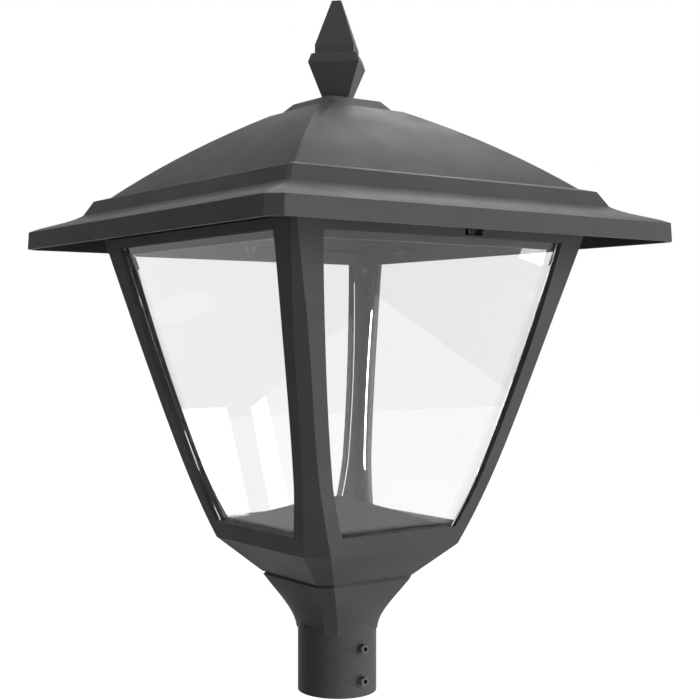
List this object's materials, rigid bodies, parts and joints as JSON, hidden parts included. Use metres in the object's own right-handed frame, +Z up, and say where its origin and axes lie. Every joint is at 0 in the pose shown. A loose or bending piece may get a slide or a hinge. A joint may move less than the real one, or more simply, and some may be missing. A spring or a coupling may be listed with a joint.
{
  "type": "post top lantern",
  "caption": "Square post top lantern: tapered glazed cage on a flared neck for a round post, hinged pyramid canopy with a finial, downward LED.",
  "frame": {"origin": "centre of the post bore at its mouth, on the lantern's vertical axis", "axes": "+Z up along the post axis; -Y is the front, with the set screws and the latch; +Y is the back, with the hinge"},
  "size_m": [0.4536, 0.4536, 0.665],
  "materials": {
    "powder_coat": "fine satin powder coat, dark grey",
    "glass": "clear toughened glass, 5 mm",
    "gasket": "matt black EPDM",
    "fastener": "plain stainless steel",
    "dark_fastener": "blackened steel",
    "lens": "frosted polycarbonate",
    "circuit_board": "white solder mask",
    "heat_sink": "plain extruded aluminium",
    "driver_case": "off-white polycarbonate",
    "terminal": "natural polyamide"
  },
  "bodies": {
    "lantern": {"post_fitter": "powder_coat", "cage_frame": "powder_coat", "pane_retainers": "powder_coat", "glazing_clips": "powder_coat", "gear_cover": "powder_coat", "hinge_bracket": "powder_coat", "pane_front": "glass", "pane_right": "glass", "pane_back": "glass", "pane_left": "glass", "base_gasket": "gasket", "pane_gaskets": "gasket", "canopy_gasket": "gasket", "cable_gland": "gasket", "frame_bolts": "fastener", "cover_clips": "fastener", "terminal_screws": "fastener", "earth_screw": "fastener", "hinge_pin": "fastener", "retainer_screws": "dark_fastener", "clip_screws": "dark_fastener", "hinge_screws": "dark_fastener", "terminal_block": "terminal"},
    "canopy": {"canopy_shell": "powder_coat", "finial_collar": "powder_coat", "finial": "powder_coat", "finial_stud": "fastener", "finial_washer": "fastener", "finial_nut": "fastener", "gear_tray": "powder_coat", "tray_screws": "dark_fastener", "led_lens": "lens", "lens_ring": "lens", "led_board": "circuit_board", "heat_sink": "heat_sink", "sink_spacers": "fastener", "sink_screws": "dark_fastener", "driver": "driver_case", "driver_screws": "fastener", "hinge_arm": "powder_coat", "arm_screws": "dark_fastener", "latch_hook": "powder_coat", "hook_screws": "dark_fastener"},
    "latch": {"latch_cam": "dark_fastener"},
    "upper_set_screw": {"set_screw_upper": "dark_fastener"},
    "lower_set_screw": {"set_screw_lower": "dark_fastener"}
  },
  "joints": [
    {"name": "canopy_hinge", "type": "hinge", "parent": "lantern", "child": "canopy", "pos_m": [0, 0.175, 0.438], "axis": [-1, 0, 0], "range_deg": [0, 85]},
    {"name": "latch_turn", "type": "hinge", "parent": "lantern", "child": "latch", "pos_m": [0.0255, -0.155, 0.433], "axis": [0, 1, 0], "range_deg": [0, 90]},
    {"name": "upper_set_screw_travel", "type": "slide", "parent": "lantern", "child": "upper_set_screw", "axis": [0, 1, 0], "range_m": [-0.003, 0.006]},
    {"name": "lower_set_screw_travel", "type": "slide", "parent": "lantern", "child": "lower_set_screw", "axis": [0, 1, 0], "range_m": [-0.003, 0.006]}
  ]
}
